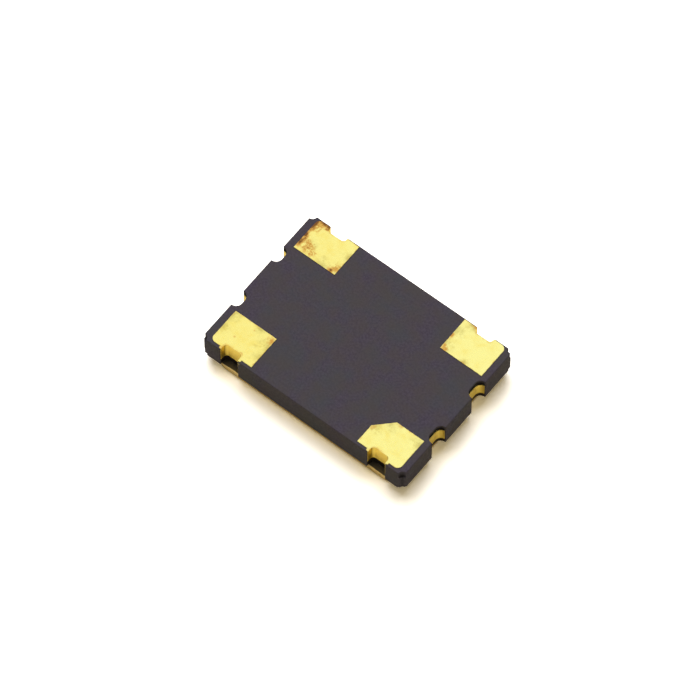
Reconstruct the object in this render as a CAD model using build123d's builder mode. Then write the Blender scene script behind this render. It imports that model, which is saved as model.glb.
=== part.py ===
from build123d import *
import os

# Crystal oscillator in a castellated ceramic package, lying on its lid with the solder pads up.
# Millimetres. The origin is on the lid's outer face, below the middle of the body.
# +X runs along the body, +Y across it, and +Z points from the lid to the solder pads.

# Ceramic body
LENGTH = 7.03
WIDTH = 4.95
EDGE_RADIUS = 0.035
PAD_SIDE_CORNER_RADIUS = 0.16
SEAL_SIDE_CORNER_RADIUS = 0.19

# Sheets that the ceramic is fired from, in order from the solder pads to the seal
FLOOR_SHEET = 0.22
POCKET_SHEET = 0.36
SHELF_SHEET = 0.19
SEAL_SHEET = 0.1

# Castellations: half slots through the walls, one at each pad and two in each short end
NOTCH_RADIUS = 0.2
PAD_NOTCH_WIDTH = 0.6
PAD_NOTCH_DEPTH = 0.235
END_NOTCH_WIDTH = 0.54
END_NOTCH_DEPTH = 0.22
END_PITCH = 1.78

# Solder pads and the metal lining of the castellations
PLATING = 0.02
PAD_PITCH = 5.14
PAD_LENGTH = 1.435
PAD_WIDTH = 1.12
PAD_GAP = 2.57
PAD_CORNER_RADIUS = 0.15
PAD_INDEX_CHAMFER = 0.5
LINING_SETBACK = 0.03

# How far the pads and their castellations lie off the middle of the snapped outline
PATTERN_SHIFT_ALONG = 0.015
PATTERN_SHIFT_ACROSS = 0.03

# Lid, seal ring and braze
LID_THICKNESS = 0.1
LID_MARGIN = 0.07
LID_EDGE_RADIUS = 0.04
RING_LENGTH = 6.54
RING_WIDTH = 4.83
RING_HEIGHT = 0.14
RING_CORNER_RADIUS = 0.52
RING_BAND = 0.36
RING_EDGE_RADIUS = 0.03
BRAZE_THICKNESS = 0.03

# Stepped cavity
CAVITY_LENGTH = 5.8
CAVITY_WIDTH = 3.8
CAVITY_CORNER_RADIUS = 0.3
CRYSTAL_SHELF = 0.9
POCKET_LENGTH = 2.9
POCKET_WIDTH = 2.2
POCKET_CORNER_RADIUS = 0.15

# Chip, its seat and its wires
PADDLE_MARGIN = 0.2
CHIP_LENGTH = 2.0
CHIP_WIDTH = 1.5
CHIP_THICKNESS = 0.2
ATTACH_THICKNESS = 0.03
ATTACH_MARGIN = 0.05
WIRE_COUNT_PER_SIDE = 3
WIRE_PITCH = 0.7
WIRE_DIAMETER = 0.03
WIRE_LOOP = 0.19
WIRE_END_INSET = 0.1
BALL_DIAMETER = 0.08
BALL_HEIGHT = 0.02
STITCH_LENGTH = 0.12
STITCH_WIDTH = 0.05
STITCH_HEIGHT = 0.015
FINGER_LENGTH = 0.5
FINGER_WIDTH = 0.28

# Quartz blank and its mounting
BLANK_LENGTH = 4.8
BLANK_WIDTH = 2.2
BLANK_THICKNESS = 0.07
BLANK_OVERHANG = 0.65
FILM = 0.02
ELECTRODE_LENGTH = 2.4
ELECTRODE_WIDTH = 1.5
TAB_LENGTH = 0.5
TAB_WIDTH = 0.6
LEAD_WIDTH = 0.25
ADHESIVE_DIAMETER = 0.45
ADHESIVE_THICKNESS = 0.03
CRYSTAL_PAD_LENGTH = 0.6
CRYSTAL_PAD_WIDTH = 0.7

# Levels, from the lid's outer face up
RING_BOTTOM = LID_THICKNESS
RING_TOP = RING_BOTTOM + RING_HEIGHT
BASE_BOTTOM = RING_TOP + BRAZE_THICKNESS
SHELF_FACE = BASE_BOTTOM + SEAL_SHEET
BOND_FACE = SHELF_FACE + SHELF_SHEET
POCKET_FACE = BOND_FACE + POCKET_SHEET
BASE_TOP = POCKET_FACE + FLOOR_SHEET
BASE_HEIGHT = BASE_TOP - BASE_BOTTOM
FINGER_FACE = BOND_FACE - PLATING
PADDLE_FACE = POCKET_FACE - PLATING
ATTACH_FACE = PADDLE_FACE - ATTACH_THICKNESS
CHIP_FACE = ATTACH_FACE - CHIP_THICKNESS
CRYSTAL_PAD_FACE = SHELF_FACE - PLATING
BLANK_TOP = CRYSTAL_PAD_FACE - ADHESIVE_THICKNESS - FILM
BLANK_BOTTOM = BLANK_TOP - BLANK_THICKNESS

# Places along and across the body
BOND_AREA_LENGTH = CAVITY_LENGTH - CRYSTAL_SHELF
CHIP_X = CRYSTAL_SHELF / 2
SHELF_EDGE_X = CRYSTAL_SHELF - CAVITY_LENGTH / 2
BLANK_END_X = SHELF_EDGE_X - BLANK_OVERHANG
BLANK_X = BLANK_END_X + BLANK_LENGTH / 2
TAB_X = BLANK_END_X + TAB_LENGTH / 2
TAB_Y = BLANK_WIDTH / 2 - TAB_WIDTH / 2
LEAD_Y = ELECTRODE_WIDTH / 2 - LEAD_WIDTH / 2
LEAD_LENGTH = BLANK_X - ELECTRODE_LENGTH / 2 - BLANK_END_X
BALL_Y = CHIP_WIDTH / 2 - WIRE_END_INSET
FINGER_Y = (POCKET_WIDTH + CAVITY_WIDTH) / 4
STITCH_Y = FINGER_Y - FINGER_LENGTH / 2 + STITCH_LENGTH

# Pads in order round the body as seen from above, from the one with the cut corner
PAD_SIDES = ((1, -1), (-1, -1), (-1, 1), (1, 1))


def keep(builder, name):
    """Label a finished piece and write it to its own file."""
    builder.part.label = name
    export_step(builder.part, f"parts/{name}.step")


def pad_notch_place(side_x, side_y):
    """Middle of a pad's castellation, turned so that its outside lies along the place's +Y."""
    turn = 0 if side_y > 0 else 180
    notch_x = side_x * PAD_PITCH / 2 + PATTERN_SHIFT_ALONG
    notch_y = side_y * WIDTH / 2 + PATTERN_SHIFT_ACROSS
    return Location((notch_x, notch_y, 0), (0, 0, turn))


def end_notch_place(side_x, side_y):
    """Middle of a castellation in a short end, turned the same way."""
    return Location((side_x * LENGTH / 2, side_y * END_PITCH / 2, 0), (0, 0, -90 * side_x))


def notch(place, width, depth, inset=0.0, mode=Mode.ADD):
    """Slot of a castellation, lying along the wall and half outside it."""
    with Locations(place):
        RectangleRounded(width - 2 * inset, 2 * (depth - inset), NOTCH_RADIUS - inset, mode=mode)


def all_notches():
    """Slots of the eight castellations."""
    for side_x, side_y in PAD_SIDES:
        notch(pad_notch_place(side_x, side_y), PAD_NOTCH_WIDTH, PAD_NOTCH_DEPTH)
        notch(end_notch_place(side_x, side_y), END_NOTCH_WIDTH, END_NOTCH_DEPTH)


def notch_lining(place, width, depth, wall):
    """Skin of metal in a castellation, ending just short of the wall, at this distance from the middle."""
    notch(place, width, depth)
    notch(place, width, depth, inset=PLATING, mode=Mode.SUBTRACT)
    with Locations(place * Pos(0, wall - LINING_SETBACK)):
        Rectangle(width, 2 * depth, align=(Align.CENTER, Align.MIN), mode=Mode.SUBTRACT)


def make_ceramic_base():
    """Fired body with rounded rims, castellations, concave corners and the stepped cavity."""
    with BuildPart() as ceramic_base:
        with BuildSketch(Plane.XY.offset(BASE_BOTTOM)):
            Rectangle(LENGTH, WIDTH)
        extrude(amount=BASE_HEIGHT)
        levels = ceramic_base.edges().group_by(Axis.Z)
        fillet(levels[0] + levels[-1], EDGE_RADIUS)
        with BuildSketch(Plane.XY.offset(BASE_BOTTOM)):
            all_notches()
            with GridLocations(LENGTH, WIDTH, 2, 2):
                Circle(PAD_SIDE_CORNER_RADIUS)
        extrude(amount=BASE_HEIGHT, mode=Mode.SUBTRACT)
        with BuildSketch(Plane.XY.offset(BASE_BOTTOM)):
            with GridLocations(LENGTH, WIDTH, 2, 2):
                Circle(SEAL_SIDE_CORNER_RADIUS)
        extrude(amount=SEAL_SHEET + SHELF_SHEET, mode=Mode.SUBTRACT)
        with BuildSketch(Plane.XY.offset(BASE_BOTTOM)):
            RectangleRounded(CAVITY_LENGTH, CAVITY_WIDTH, CAVITY_CORNER_RADIUS)
        extrude(amount=SEAL_SHEET, mode=Mode.SUBTRACT)
        with BuildSketch(Plane.XY.offset(SHELF_FACE)):
            with Locations((CHIP_X, 0)):
                RectangleRounded(BOND_AREA_LENGTH, CAVITY_WIDTH, CAVITY_CORNER_RADIUS)
        extrude(amount=SHELF_SHEET, mode=Mode.SUBTRACT)
        with BuildSketch(Plane.XY.offset(BOND_FACE)):
            with Locations((CHIP_X, 0)):
                RectangleRounded(POCKET_LENGTH, POCKET_WIDTH, POCKET_CORNER_RADIUS)
        extrude(amount=POCKET_SHEET, mode=Mode.SUBTRACT)
    return ceramic_base


def make_solder_pad(side_x, side_y, indexed):
    """Pad on the body's face, with its castellation lined through the two sheets below it."""
    pad_x = side_x * PAD_PITCH / 2 + PATTERN_SHIFT_ALONG
    pad_y = side_y * (PAD_GAP + PAD_WIDTH) / 2 + PATTERN_SHIFT_ACROSS
    body_corner = (side_x * LENGTH / 2, side_y * WIDTH / 2)
    place = pad_notch_place(side_x, side_y)
    wall = -side_y * PATTERN_SHIFT_ACROSS
    lining_height = FLOOR_SHEET + POCKET_SHEET
    with BuildPart() as solder_pad:
        with BuildSketch(Plane.XY.offset(BASE_TOP)) as plate:
            with Locations((pad_x, pad_y)):
                Rectangle(PAD_LENGTH, PAD_WIDTH)
            fillet(plate.vertices().sort_by_distance(body_corner)[0], PAD_CORNER_RADIUS)
            if indexed:
                chamfer(plate.vertices().sort_by_distance(body_corner)[-1], PAD_INDEX_CHAMFER)
            notch(place, PAD_NOTCH_WIDTH, PAD_NOTCH_DEPTH, inset=PLATING, mode=Mode.SUBTRACT)
        extrude(amount=PLATING)
        with BuildSketch(Plane.XY.offset(BASE_TOP - lining_height)):
            notch_lining(place, PAD_NOTCH_WIDTH, PAD_NOTCH_DEPTH, wall)
        extrude(amount=lining_height + PLATING)
    return solder_pad


def make_side_contact(side_x, side_y):
    """Lining of a castellation in a short end, on the two middle sheets only."""
    with BuildPart() as side_contact:
        with BuildSketch(Plane.XY.offset(SHELF_FACE)):
            notch_lining(end_notch_place(side_x, side_y), END_NOTCH_WIDTH, END_NOTCH_DEPTH, 0)
        extrude(amount=SHELF_SHEET + POCKET_SHEET)
    return side_contact


def frame_profile():
    """Outline of the seal ring with its window."""
    RectangleRounded(RING_LENGTH, RING_WIDTH, RING_CORNER_RADIUS)
    RectangleRounded(
        RING_LENGTH - 2 * RING_BAND,
        RING_WIDTH - 2 * RING_BAND,
        RING_CORNER_RADIUS - RING_BAND,
        mode=Mode.SUBTRACT,
    )


def make_seal_ring():
    """Metal frame that the lid is welded to."""
    with BuildPart() as seal_ring:
        with BuildSketch(Plane.XY.offset(RING_BOTTOM)):
            frame_profile()
        extrude(amount=RING_HEIGHT)
        outer_rim = seal_ring.faces().sort_by(Axis.Z)[0].outer_wire().edges()
        fillet(outer_rim, RING_EDGE_RADIUS)
    return seal_ring


def make_ring_braze():
    """Braze between ring and ceramic, open to view where the castellations pass over the ring."""
    with BuildPart() as ring_braze:
        with BuildSketch(Plane.XY.offset(RING_TOP)):
            frame_profile()
        extrude(amount=BRAZE_THICKNESS)
    return ring_braze


def make_lid():
    """Sheet-metal lid, its outer rim rounded by the seam weld."""
    with BuildPart() as lid:
        with BuildSketch(Plane.XY):
            RectangleRounded(
                RING_LENGTH - 2 * LID_MARGIN,
                RING_WIDTH - 2 * LID_MARGIN,
                RING_CORNER_RADIUS - LID_MARGIN,
            )
        extrude(amount=LID_THICKNESS)
        fillet(lid.edges().group_by(Axis.Z)[0], LID_EDGE_RADIUS)
    return lid


def make_plate(x, y, length, width, bottom, thickness):
    """Flat rectangular piece centred at x and y."""
    with BuildPart() as plate:
        with BuildSketch(Plane.XY.offset(bottom)):
            with Locations((x, y)):
                Rectangle(length, width)
        extrude(amount=thickness)
    return plate


def make_bond_wire(x, side):
    """Gold wire that rises from a ball on the chip, kinks over and runs down to a stitch on the finger."""
    ball_end = CHIP_FACE - BALL_HEIGHT
    stitch_end = FINGER_FACE - STITCH_HEIGHT
    with BuildPart() as bond_wire:
        with BuildSketch(Plane.XY.offset(ball_end)):
            with Locations((x, side * BALL_Y)):
                Circle(BALL_DIAMETER / 2)
        extrude(amount=BALL_HEIGHT)
        with BuildSketch(Plane.XY.offset(stitch_end)):
            with Locations((x, side * STITCH_Y)):
                SlotOverall(STITCH_LENGTH, STITCH_WIDTH, rotation=90)
        extrude(amount=STITCH_HEIGHT)
        with BuildLine(Plane.YZ.offset(x)) as loop:
            Polyline(
                (side * BALL_Y, ball_end),
                (side * BALL_Y, CHIP_FACE - WIRE_LOOP),
                (side * STITCH_Y, stitch_end),
            )
        with BuildSketch(Plane(origin=loop.line @ 0, z_dir=loop.line % 0)):
            Circle(WIRE_DIAMETER / 2)
        sweep(path=loop.line, transition=Transition.RIGHT)
    return bond_wire


def make_quartz_blank():
    """Strip of quartz, held at one end over the chip."""
    return make_plate(BLANK_X, 0, BLANK_LENGTH, BLANK_WIDTH, BLANK_BOTTOM, BLANK_THICKNESS)


def electrode_profile(side):
    """Active area, lead and mounting tab of one electrode."""
    with Locations((BLANK_X, 0)):
        Rectangle(ELECTRODE_LENGTH, ELECTRODE_WIDTH)
    with Locations((BLANK_END_X, side * LEAD_Y)):
        Rectangle(LEAD_LENGTH, LEAD_WIDTH, align=(Align.MIN, Align.CENTER))
    with Locations((TAB_X, side * TAB_Y)):
        Rectangle(TAB_LENGTH, TAB_WIDTH)


def make_chip_side_electrode():
    """Film on the face that looks at the chip."""
    with BuildPart() as chip_side_electrode:
        with BuildSketch(Plane.XY.offset(BLANK_TOP)):
            electrode_profile(1)
        extrude(amount=FILM)
    return chip_side_electrode


def make_lid_side_electrode():
    """Film on the face that looks at the lid, led round the blank's end to its adhesive."""
    with BuildPart() as lid_side_electrode:
        with BuildSketch(Plane.XY.offset(BLANK_BOTTOM - FILM)):
            electrode_profile(-1)
        extrude(amount=FILM)
        with BuildSketch(Plane.XY.offset(BLANK_BOTTOM - FILM)):
            with Locations((BLANK_END_X, -TAB_Y)):
                Rectangle(FILM, TAB_WIDTH, align=(Align.MAX, Align.CENTER))
        extrude(amount=BLANK_THICKNESS + 2 * FILM)
        with BuildSketch(Plane.XY.offset(BLANK_TOP)):
            with Locations((TAB_X, -TAB_Y)):
                Rectangle(TAB_LENGTH, TAB_WIDTH)
        extrude(amount=FILM)
    return lid_side_electrode


def make_adhesive_dot(side):
    """Dot of conductive adhesive between a crystal pad and the blank's tab."""
    with BuildPart() as adhesive_dot:
        with BuildSketch(Plane.XY.offset(CRYSTAL_PAD_FACE - ADHESIVE_THICKNESS)):
            with Locations((TAB_X, side * TAB_Y)):
                Circle(ADHESIVE_DIAMETER / 2)
        extrude(amount=ADHESIVE_THICKNESS)
    return adhesive_dot


os.makedirs("parts", exist_ok=True)

# Package
keep(make_ceramic_base(), "ceramic_base")
keep(make_ring_braze(), "ring_braze")
keep(make_seal_ring(), "seal_ring")
keep(make_lid(), "lid")
for number, (side_x, side_y) in enumerate(PAD_SIDES, start=1):
    keep(make_solder_pad(side_x, side_y, number == 1), f"solder_pad_{number}")
    keep(make_side_contact(side_x, side_y), f"side_contact_{number}")

# Chip on its paddle
keep(
    make_plate(
        CHIP_X, 0, POCKET_LENGTH - PADDLE_MARGIN, POCKET_WIDTH - PADDLE_MARGIN, PADDLE_FACE, PLATING
    ),
    "die_paddle",
)
keep(
    make_plate(
        CHIP_X,
        0,
        CHIP_LENGTH + 2 * ATTACH_MARGIN,
        CHIP_WIDTH + 2 * ATTACH_MARGIN,
        ATTACH_FACE,
        ATTACH_THICKNESS,
    ),
    "die_attach",
)
keep(make_plate(CHIP_X, 0, CHIP_LENGTH, CHIP_WIDTH, CHIP_FACE, CHIP_THICKNESS), "oscillator_chip")

# Wires and fingers, along both long sides of the chip
finger_number = 0
for side in (-1, 1):
    for step in range(WIRE_COUNT_PER_SIDE):
        finger_number += 1
        wire_x = CHIP_X + (step - (WIRE_COUNT_PER_SIDE - 1) / 2) * WIRE_PITCH
        keep(
            make_plate(wire_x, side * FINGER_Y, FINGER_WIDTH, FINGER_LENGTH, FINGER_FACE, PLATING),
            f"bond_finger_{finger_number}",
        )
        keep(make_bond_wire(wire_x, side), f"bond_wire_{finger_number}")

# Quartz blank on its shelf
for number, side in enumerate((1, -1), start=1):
    keep(
        make_plate(
            TAB_X, side * TAB_Y, CRYSTAL_PAD_LENGTH, CRYSTAL_PAD_WIDTH, CRYSTAL_PAD_FACE, PLATING
        ),
        f"crystal_pad_{number}",
    )
    keep(make_adhesive_dot(side), f"adhesive_dot_{number}")
keep(make_quartz_blank(), "quartz_blank")
keep(make_chip_side_electrode(), "chip_side_electrode")
keep(make_lid_side_electrode(), "lid_side_electrode")
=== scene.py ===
"""Crystal oscillator in a castellated ceramic package, finished around its fixed frame."""

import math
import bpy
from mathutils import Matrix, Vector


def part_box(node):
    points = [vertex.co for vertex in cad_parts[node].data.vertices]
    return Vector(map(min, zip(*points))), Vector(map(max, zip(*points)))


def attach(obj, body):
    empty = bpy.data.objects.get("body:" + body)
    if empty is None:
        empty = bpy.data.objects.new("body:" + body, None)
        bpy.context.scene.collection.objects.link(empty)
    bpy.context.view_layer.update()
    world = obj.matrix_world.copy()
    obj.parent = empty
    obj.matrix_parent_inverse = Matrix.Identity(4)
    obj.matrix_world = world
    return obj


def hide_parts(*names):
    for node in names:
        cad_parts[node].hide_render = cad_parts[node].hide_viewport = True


bl_info = {
    "name": "Crystal Oscillator",
    "version": (1, 0, 0),
    "blender": (4, 5, 0),
    "location": "View3D > Sidebar > Oscillator",
    "description": "Finishes a ceramic crystal oscillator around its frame, on a white floor",
    "category": "Add Mesh",
}

import bmesh
import bpy
from bpy.props import FloatProperty, FloatVectorProperty, PointerProperty
from mathutils import Vector, noise

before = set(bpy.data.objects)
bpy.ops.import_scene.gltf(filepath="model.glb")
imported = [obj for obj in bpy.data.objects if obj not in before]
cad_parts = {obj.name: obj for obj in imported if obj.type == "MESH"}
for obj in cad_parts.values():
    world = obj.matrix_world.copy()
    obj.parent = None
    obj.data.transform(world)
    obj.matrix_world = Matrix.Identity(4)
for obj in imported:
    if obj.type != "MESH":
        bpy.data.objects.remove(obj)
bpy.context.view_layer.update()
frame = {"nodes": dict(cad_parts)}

# Pieces are modelled in millimetres and scaled to metres when they are done
MM = 0.001
BODY = "root"
SAME_LEVEL = 0.002
SHARP_ANGLE = math.radians(38)
ARC_STEPS = 14
POST_STEPS = 56
RIM_STEPS = 4
FILM_STEPS = 2
REACH = 0.5

# Printed films: cell of the mesh and pitch of the ragged edge
CELL = 0.06
RAGGED_PITCH = 0.09

# Pads in order round the body, from the one with the cut corner: side along X, side along Y
PAD_SIDES = ((1, -1), (-1, -1), (-1, 1), (1, 1))
PAD_NUMBERS = range(1, len(PAD_SIDES) + 1)
WIRE_NUMBERS = range(1, 7)
CRYSTAL_SIDES = (1, 2)


def node_box(node):
    """Lowest and highest corner of a node of the frame, in millimetres."""
    low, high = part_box(node)
    return low / MM, high / MM


BODY_LOW, BODY_HIGH = node_box("ceramic_base")


def amount(what, value, **kind):
    """A number that a user may change."""
    return FloatProperty(description=what, default=value, min=0.0, **kind)


def length(what, millimetres):
    """A length that a user may change."""
    return amount(what, millimetres * MM, precision=6, subtype="DISTANCE", unit="LENGTH")


def angle(what, degrees):
    """An angle that a user may change."""
    return amount(what, math.radians(degrees), subtype="ANGLE")


def colour(what, value):
    """A colour that a user may change."""
    return FloatVectorProperty(
        description=what, default=value, min=0.0, max=1.0, size=3, subtype="COLOR"
    )


class OSC_CeramicSettings(bpy.types.PropertyGroup):
    """Fired body and its castellations."""

    rim_radius: length("Rounding of the body's long rims", 0.035)
    notch_edge_radius: length("Rounding of the castellations' edges", 0.014)
    pad_notch_radius: length("Corner radius of a pad's castellation", 0.13)
    end_notch_radius: length("Corner radius of an end's castellation", 0.2)
    pad_notch_width: length("Castellation at a pad, along the wall", 0.63)
    pad_notch_depth: length("Half depth of a pad's slot", 0.235)
    end_notch_width: length("Castellation in a short end, along the wall", 0.54)
    end_notch_spread: length("How much wider those of the +X end are", 0.07)
    end_notch_depth: length("Half depth of a short end's slot", 0.22)
    pad_side_corner: length("Hollow corner radius on the pads' side", 0.16)
    middle_corner: length("Hollow corner radius of the sheets between", 0.1)
    seal_side_corner: length("Hollow corner radius on the seal's side", 0.18)
    dark: colour("Black alumina between the grains", (0.0395, 0.0335, 0.0525))
    light: colour("Black alumina on the grains", (0.0535, 0.0465, 0.0700))
    greenish: colour("Alumina where it fired greener", (0.041, 0.048, 0.054))
    brownish: colour("Alumina where it fired browner", (0.0508, 0.044, 0.045))
    # Painted shade: near black laid on the ceramic in castellations, hollow corners and cavity
    recess: colour("Rough alumina in the castellations", (0.008, 0.0065, 0.005))
    # Pale spots on the edges of two castellations
    chipped: colour("Ceramic where an edge has chipped", (0.20, 0.18, 0.12))


class OSC_GoldSettings(bpy.types.PropertyGroup):
    """Printed and plated pads."""

    pad_width: length("Pad across the body", 1.12)
    corner_radius: length("Rounding of a pad's outer corner", 0.15)
    index_cut: length("Cut corner of the first pad", 0.5)
    lining_setback: length("How far a lining stays behind the wall", 0.03)
    ragged_depth: length("How far a printed edge wanders", 0.007)
    edge_radius: length("Rounding of a film's edge", 0.008)
    lip_width: length("Gold beside a castellation's mouth", 0.06)
    pale: colour("Clean gold", (1.0, 0.935, 0.335))
    deep: colour("Gold in the hollows of the print", (0.97, 0.80, 0.19))
    # Deeper gold in the castellations: partly thinner plating there, partly painted shade
    lining: colour("Gold in the castellations", (0.98, 0.76, 0.17))
    dull: colour("Gold under a thin grey-green film", (0.50, 0.42, 0.11))
    stained: colour("Orange stain where tarnish is thin", (0.72, 0.40, 0.085))
    tarnish: colour("Red-brown tarnish", (0.24, 0.105, 0.03))
    # Painted shade: foot of the end contacts, bare ceramic darkened as in shade
    foot: colour("Lower edge of the contacts in the short ends", (0.02, 0.014, 0.008))
    frame: colour("Plating of the seal ring", (0.94, 0.75, 0.37))
    # Braze colour, near black
    braze: colour("Tarnished silver braze", (0.10, 0.085, 0.06))


class OSC_LidSettings(bpy.types.PropertyGroup):
    """Lid and its seam weld."""

    corner_radius: length("Rounding of the lid's corners", 0.5)
    spread: length("How far the weld has spread the lid's rim", 0.05)
    rim_radius: length("Rounding of the lid's outer rim", 0.03)
    track_width: length("Width of the seam weld's track", 0.3)
    track_depth: length("How far the track is pressed in", 0.016)
    ripple_pitch: length("Distance between weld spots", 0.13)
    ring_corner: length("Outer corner radius of the seal ring", 0.52)
    ring_width: length("Width of the seal ring's band", 0.36)
    ring_rim: length("Rounding of the seal ring's rim", 0.015)
    nickel: colour("Nickel plate", (0.60, 0.57, 0.51))
    heated: colour("Nickel along the weld", (0.48, 0.40, 0.28))
    straw: colour("Heat tint on the welded rim", (0.78, 0.60, 0.29))


class OSC_InsideSettings(bpy.types.PropertyGroup):
    """Chip, wires and crystal inside the package."""

    wire_diameter: length("Diameter of a bond wire", 0.03)
    ball_diameter: length("Diameter of a bond's ball", 0.08)
    stitch_length: length("Length of a bond's stitch", 0.12)
    scribe: length("Sawn margin round the chip's circuit", 0.06)
    bond_pad: length("Side of a bond pad on the chip", 0.1)
    silicon: colour("Chip", (0.075, 0.08, 0.10))
    circuit: colour("Fine lines on the chip", (0.10, 0.09, 0.14))
    bond_metal: colour("Bond pads on the chip", (0.78, 0.78, 0.76))
    adhesive: colour("Silver-filled adhesive", (0.45, 0.45, 0.44))
    film: colour("Silver film on the quartz", (0.78, 0.77, 0.74))
    cloudy: colour("Quartz where it is lapped duller", (0.90, 0.94, 0.95))
    clear: colour("Quartz where it is clear", (0.97, 0.99, 0.99))


class OSC_StageSettings(bpy.types.PropertyGroup):
    """Camera, light and floor."""

    azimuth: angle("Camera's turn round the part", 38.14)
    elevation: angle("Camera's height above the horizon", 61.674)
    distance: length("Camera to the middle of the view", 188.746)
    lens: amount("Focal length in millimetres", 352.85)
    floor_size: length("Half the floor's side", 600)
    softbox_size: length("Side of the lamp over the part", 260)
    softbox_distance: length("Lamp to part", 300)
    softbox_elevation: angle("Lamp's height above the horizon", 60.5)
    softbox_azimuth: angle("Lamp's turn round the part", 227.5)
    softbox_power: amount("Power of the lamp in watts", 1.27)
    room_light: amount("Strength of the light from all round", 0.36)


def sizes(group):
    """Lengths of a group of settings, in millimetres."""
    return {
        name: getattr(group, name) / MM
        for name, prop in group.bl_rna.properties.items()
        if prop.type == "FLOAT" and prop.subtype == "DISTANCE"
    }


# Modelling helpers


def slab(low, high):
    """Box between two corners."""
    bm = bmesh.new()
    bmesh.ops.create_cube(bm, size=1.0)
    low, high = Vector(low), Vector(high)
    bmesh.ops.scale(bm, vec=high - low, verts=bm.verts)
    bmesh.ops.translate(bm, vec=(low + high) / 2, verts=bm.verts)
    return bm


def post(x, y, radius, low, high):
    """Upright cylinder."""
    bm = bmesh.new()
    bmesh.ops.create_cone(
        bm, cap_ends=True, segments=POST_STEPS, radius1=radius, radius2=radius, depth=high - low
    )
    bmesh.ops.translate(bm, vec=(x, y, (low + high) / 2), verts=bm.verts)
    return bm


def bevel(bm, edges, radius, steps=3):
    """Round these edges."""
    return bmesh.ops.bevel(
        bm, geom=list(edges), offset=radius, offset_type="OFFSET", affect="EDGES",
        segments=steps, profile=0.5, material=-1, clamp_overlap=True,
    )


def uprights(bm):
    """Edges that run straight up."""
    return [e for e in bm.edges if (e.verts[0].co - e.verts[1].co).to_2d().length < SAME_LEVEL]


def level_edges(bm, level):
    """Edges that lie at this level."""
    return [e for e in bm.edges if all(abs(v.co.z - level) < SAME_LEVEL for v in e.verts)]


def sharp(edges):
    """Those of the edges at which the surface turns a corner."""
    return [e for e in edges if len(e.link_faces) == 2 and e.calc_face_angle() > SHARP_ANGLE]


def rounded_slab(low, high, radius, steps=ARC_STEPS):
    """Box with its upright edges rounded."""
    bm = slab(low, high)
    bevel(bm, uprights(bm), radius, steps)
    return bm


def divide(bm, edges, step):
    """Divide these edges into pieces about this long."""
    for edge in list(edges):
        cuts = int(edge.calc_length() / step)
        if cuts:
            bmesh.ops.subdivide_edges(bm, edges=[edge], cuts=cuts)


def grid(bm, step):
    """Cut a plate into cells about this long and wide, as seen from above."""
    for axis in (0, 1):
        places = [v.co[axis] for v in bm.verts]
        low, high = min(places), max(places)
        count = int((high - low) / step)
        for cut in range(1, count):
            place, normal = Vector(), Vector()
            place[axis] = low + (high - low) * cut / count
            normal[axis] = 1.0
            bmesh.ops.bisect_plane(
                bm, geom=bm.verts[:] + bm.edges[:] + bm.faces[:], dist=SAME_LEVEL / 100,
                plane_co=place, plane_no=normal,
            )


def wander(bm, depth, pitch):
    """Let the outline wander as a printed edge does, the same at every level."""
    for vert in bm.verts:
        place = Vector((vert.co.x, vert.co.y, 0)) / pitch
        push = noise.noise_vector(place)
        vert.co.x += depth * push.x
        vert.co.y += depth * push.y


def new_mesh(name, bm):
    """Mesh from a bmesh, which is freed."""
    mesh = bpy.data.meshes.new(name)
    bm.to_mesh(mesh)
    bm.free()
    return mesh


def new_object(name, data):
    """Object in the scene."""
    item = bpy.data.objects.new(name, data)
    bpy.context.scene.collection.objects.link(item)
    return item


def rough_piece(bm):
    """Object to carve, from a bmesh in millimetres."""
    return new_object("rough", new_mesh("rough", bm))


def worked_out(item):
    """Mesh of an object, with its modifiers or its curve worked out."""
    depsgraph = bpy.context.evaluated_depsgraph_get()
    return bpy.data.meshes.new_from_object(item.evaluated_get(depsgraph))


def settle(piece):
    """Turn a piece's modifiers into its mesh."""
    finished = worked_out(piece)
    piece.modifiers.clear()
    piece.data = finished


def carve(piece, tools, operation="DIFFERENCE"):
    """Cut tools out of a piece, or join them to it."""
    for bm in tools:
        tool = rough_piece(bm)
        step = piece.modifiers.new("Carve", "BOOLEAN")
        step.operation = operation
        step.solver = "EXACT"
        step.object = tool
        settle(piece)
        bpy.data.objects.remove(tool)
    return piece


def as_bmesh(piece):
    """Take a carved piece back into a bmesh."""
    bm = bmesh.new()
    bm.from_mesh(piece.data)
    bpy.data.objects.remove(piece)
    bmesh.ops.remove_doubles(bm, verts=bm.verts, dist=SAME_LEVEL / 10)
    bmesh.ops.delete(bm, geom=[e for e in bm.edges if e.is_wire], context="EDGES")
    bmesh.ops.delete(bm, geom=[v for v in bm.verts if not v.link_faces], context="VERTS")
    bmesh.ops.recalc_face_normals(bm, faces=bm.faces)
    return bm


def finish_piece(name, bm, node, slot, *materials):
    """Scale a modelled piece to metres and let it stand for its node."""
    bmesh.ops.scale(bm, vec=(MM, MM, MM), verts=bm.verts)
    mesh = new_mesh(name, bm)
    mesh.shade_smooth()
    mesh.set_sharp_from_angle(angle=SHARP_ANGLE)
    piece = new_object(name, mesh)
    even = piece.modifiers.new("Even shading", "WEIGHTED_NORMAL")
    even.keep_sharp = True
    for material in materials:
        mesh.materials.append(material)
    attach(piece, BODY)
    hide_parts(node)


def dress(node, material):
    """Give a node of the frame a finish."""
    mesh = frame["nodes"][node].data
    mesh.materials.clear()
    mesh.materials.append(material)


# Castellations


def pattern_shift():
    """How far the pads lie off the middle of the outline, across the body."""
    return (node_box("solder_pad_1")[1].y + node_box("solder_pad_4")[0].y) / 2


def slot_tool(x, y, half_x, half_y, radius, low, high):
    """Upright slot with rounded corners."""
    return rounded_slab((x - half_x, y - half_y, low), (x + half_x, y + half_y, high), radius)


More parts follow.
